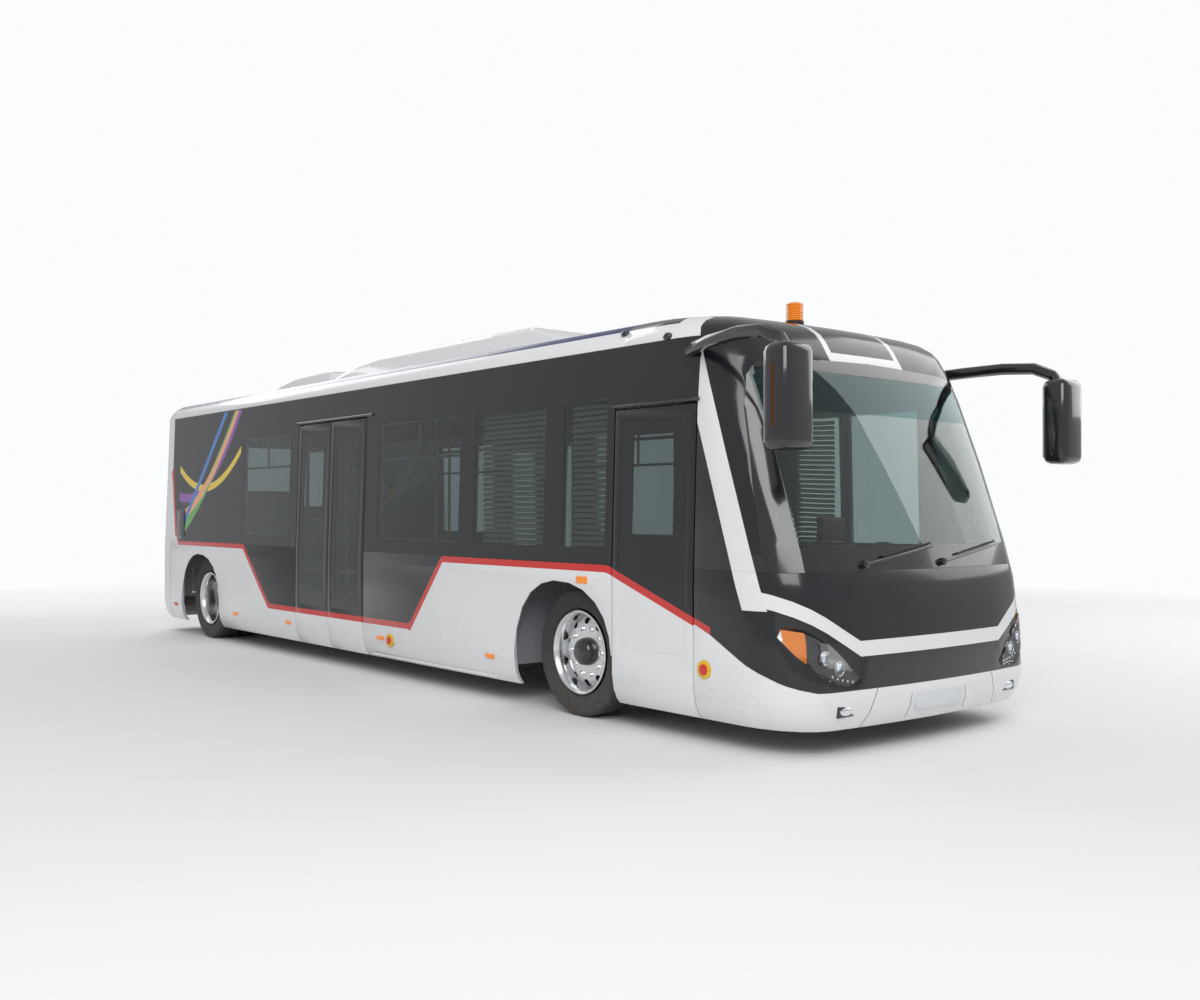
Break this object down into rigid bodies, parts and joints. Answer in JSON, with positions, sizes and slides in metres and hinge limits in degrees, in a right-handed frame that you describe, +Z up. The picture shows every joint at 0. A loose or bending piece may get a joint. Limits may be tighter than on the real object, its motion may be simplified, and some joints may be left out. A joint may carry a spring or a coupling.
{
  "type": "airport passenger bus",
  "caption": "Low-floor airport apron bus with outswing doors on both sides, steered front wheels, twin rear wheels and a rear hatch.",
  "frame": {"origin": "centre of the whole bus on the ground, half way between the mirrors' front and the rear face", "axes": "+Z up, the front faces -Y, +X is the driver's side and -X the side with the front door"},
  "size_m": [3.152, 10.535, 2.95],
  "materials": {
    "white_paint": "gloss",
    "black_gloss": "gloss",
    "dark_glass": "gloss",
    "tyre_rubber": "matt",
    "polished_alloy": "polished",
    "chassis_steel": "satin",
    "cast_iron": "rough",
    "amber_lens": "gloss",
    "lamp_lens": "gloss",
    "floor_vinyl": "matt",
    "seat_leather": "satin",
    "dash_plastic": "matt",
    "battery_case": "satin"
  },
  "bodies": {
    "bus_body": {"chassis_frame": "chassis_steel", "cabin_floor": "floor_vinyl", "side_wall_right": "white_paint", "side_wall_left": "white_paint", "side_glass_right": "dark_glass", "side_glass_left": "dark_glass", "roof_shell": "white_paint", "roof_unit": "white_paint", "roof_pod": "white_paint", "beacon": "amber_lens", "front_mask": "black_gloss", "windshield": "dark_glass", "front_panel": "black_gloss", "front_bumper": "white_paint", "headlight_right": "lamp_lens", "headlight_left": "lamp_lens", "rear_shell": "white_paint", "rear_glass": "dark_glass", "mirror_right": "black_gloss", "mirror_left": "black_gloss", "dashboard": "dash_plastic", "steering_wheel": "dash_plastic", "driver_seat": "seat_leather", "bench_right": "seat_leather", "bench_left": "seat_leather", "rear_sofa": "seat_leather", "drive_motor": "cast_iron", "battery_pack": "battery_case", "front_axle": "chassis_steel", "rear_axle": "cast_iron"},
    "front_door_arm": {"front_door_arm": "chassis_steel"},
    "front_door_leaf": {"front_door_leaf": "white_paint", "front_door_glass": "dark_glass"},
    "mid_door_right_front_arm": {"mid_door_right_front_arm": "chassis_steel"},
    "mid_door_right_front_leaf": {"mid_door_right_front_leaf": "white_paint", "mid_door_right_front_glass": "dark_glass"},
    "mid_door_right_rear_arm": {"mid_door_right_rear_arm": "chassis_steel"},
    "mid_door_right_rear_leaf": {"mid_door_right_rear_leaf": "white_paint", "mid_door_right_rear_glass": "dark_glass"},
    "mid_door_left_front_arm": {"mid_door_left_front_arm": "chassis_steel"},
    "mid_door_left_front_leaf": {"mid_door_left_front_leaf": "white_paint", "mid_door_left_front_glass": "dark_glass"},
    "mid_door_left_rear_arm": {"mid_door_left_rear_arm": "chassis_steel"},
    "mid_door_left_rear_leaf": {"mid_door_left_rear_leaf": "white_paint", "mid_door_left_rear_glass": "dark_glass"},
    "knuckle_right": {"knuckle_right": "cast_iron"},
    "front_wheel_right": {"front_tyre_right": "tyre_rubber", "front_rim_right": "polished_alloy"},
    "rear_wheel_right": {"rear_tyre_right_outer": "tyre_rubber", "rear_tyre_right_inner": "tyre_rubber", "rear_rim_right": "polished_alloy"},
    "knuckle_left": {"knuckle_left": "cast_iron"},
    "front_wheel_left": {"front_tyre_left": "tyre_rubber", "front_rim_left": "polished_alloy"},
    "rear_wheel_left": {"rear_tyre_left_outer": "tyre_rubber", "rear_tyre_left_inner": "tyre_rubber", "rear_rim_left": "polished_alloy"},
    "rear_hatch": {"rear_hatch": "white_paint"}
  },
  "joints": [
    {"name": "front_door_swing", "type": "hinge", "parent": "bus_body", "child": "front_door_arm", "pos_m": [-1.17, -4.1755, 1.2], "axis": [0, 0, 1], "range_deg": [0, 150]},
    {"name": "front_door_turn", "type": "hinge", "parent": "front_door_arm", "child": "front_door_leaf", "pos_m": [-1.17, -3.834, 1.2], "axis": [0, 0, 1], "range_deg": [-150, 0]},
    {"name": "mid_door_right_front_swing", "type": "hinge", "parent": "bus_body", "child": "mid_door_right_front_arm", "pos_m": [-1.17, 0.1075, 1.2], "axis": [0, 0, 1], "range_deg": [0, 150]},
    {"name": "mid_door_right_front_turn", "type": "hinge", "parent": "mid_door_right_front_arm", "child": "mid_door_right_front_leaf", "pos_m": [-1.17, 0.398, 1.2], "axis": [0, 0, 1], "range_deg": [-150, 0]},
    {"name": "mid_door_right_rear_swing", "type": "hinge", "parent": "bus_body", "child": "mid_door_right_rear_arm", "pos_m": [-1.17, 1.3775, 1.2], "axis": [0, 0, 1], "range_deg": [-150, 0]},
    {"name": "mid_door_right_rear_turn", "type": "hinge", "parent": "mid_door_right_rear_arm", "child": "mid_door_right_rear_leaf", "pos_m": [-1.17, 1.087, 1.2], "axis": [0, 0, 1], "range_deg": [0, 150]},
    {"name": "mid_door_left_front_swing", "type": "hinge", "parent": "bus_body", "child": "mid_door_left_front_arm", "pos_m": [1.17, 0.1075, 1.2], "axis": [0, 0, -1], "range_deg": [0, 150]},
    {"name": "mid_door_left_front_turn", "type": "hinge", "parent": "mid_door_left_front_arm", "child": "mid_door_left_front_leaf", "pos_m": [1.17, 0.398, 1.2], "axis": [0, 0, -1], "range_deg": [-150, 0]},
    {"name": "mid_door_left_rear_swing", "type": "hinge", "parent": "bus_body", "child": "mid_door_left_rear_arm", "pos_m": [1.17, 1.3775, 1.2], "axis": [0, 0, -1], "range_deg": [-150, 0]},
    {"name": "mid_door_left_rear_turn", "type": "hinge", "parent": "mid_door_left_rear_arm", "child": "mid_door_left_rear_leaf", "pos_m": [1.17, 1.087, 1.2], "axis": [0, 0, -1], "range_deg": [0, 150]},
    {"name": "steer_left", "type": "hinge", "parent": "bus_body", "child": "knuckle_left", "pos_m": [1.02, -2.9825, 0.453], "axis": [0, 0, 1], "range_deg": [-38, 38]},
    {"name": "steer_right", "type": "hinge", "parent": "bus_body", "child": "knuckle_right", "pos_m": [-1.02, -2.9825, 0.453], "axis": [0, 0, 1], "range_deg": [-38, 38]},
    {"name": "front_wheel_spin_right", "type": "hinge", "parent": "knuckle_right", "child": "front_wheel_right", "pos_m": [-1.0675, -2.9825, 0.453], "axis": [1, 0, 0], "continuous": true},
    {"name": "front_wheel_spin_left", "type": "hinge", "parent": "knuckle_left", "child": "front_wheel_left", "pos_m": [1.0675, -2.9825, 0.453], "axis": [1, 0, 0], "continuous": true},
    {"name": "rear_wheel_spin_right", "type": "hinge", "parent": "bus_body", "child": "rear_wheel_right", "pos_m": [-1.0675, 3.8275, 0.453], "axis": [1, 0, 0], "continuous": true},
    {"name": "rear_wheel_spin_left", "type": "hinge", "parent": "bus_body", "child": "rear_wheel_left", "pos_m": [1.0675, 3.8275, 0.453], "axis": [1, 0, 0], "continuous": true},
    {"name": "rear_hatch_lift", "type": "hinge", "parent": "bus_body", "child": "rear_hatch", "pos_m": [0, 5.2675, 1.2994], "axis": [1, 0, 0], "range_deg": [0, 80]}
  ],
  "couplings": [
    {"joint": "front_door_turn", "follows": "front_door_swing", "ratio": -1},
    {"joint": "mid_door_right_front_turn", "follows": "mid_door_right_front_swing", "ratio": -1},
    {"joint": "mid_door_right_rear_swing", "follows": "mid_door_right_front_swing", "ratio": -1},
    {"joint": "mid_door_right_rear_turn", "follows": "mid_door_right_front_swing", "ratio": 1},
    {"joint": "mid_door_left_front_turn", "follows": "mid_door_left_front_swing", "ratio": -1},
    {"joint": "mid_door_left_rear_swing", "follows": "mid_door_left_front_swing", "ratio": -1},
    {"joint": "mid_door_left_rear_turn", "follows": "mid_door_left_front_swing", "ratio": 1},
    {"joint": "steer_right", "follows": "steer_left", "ratio": 1}
  ]
}
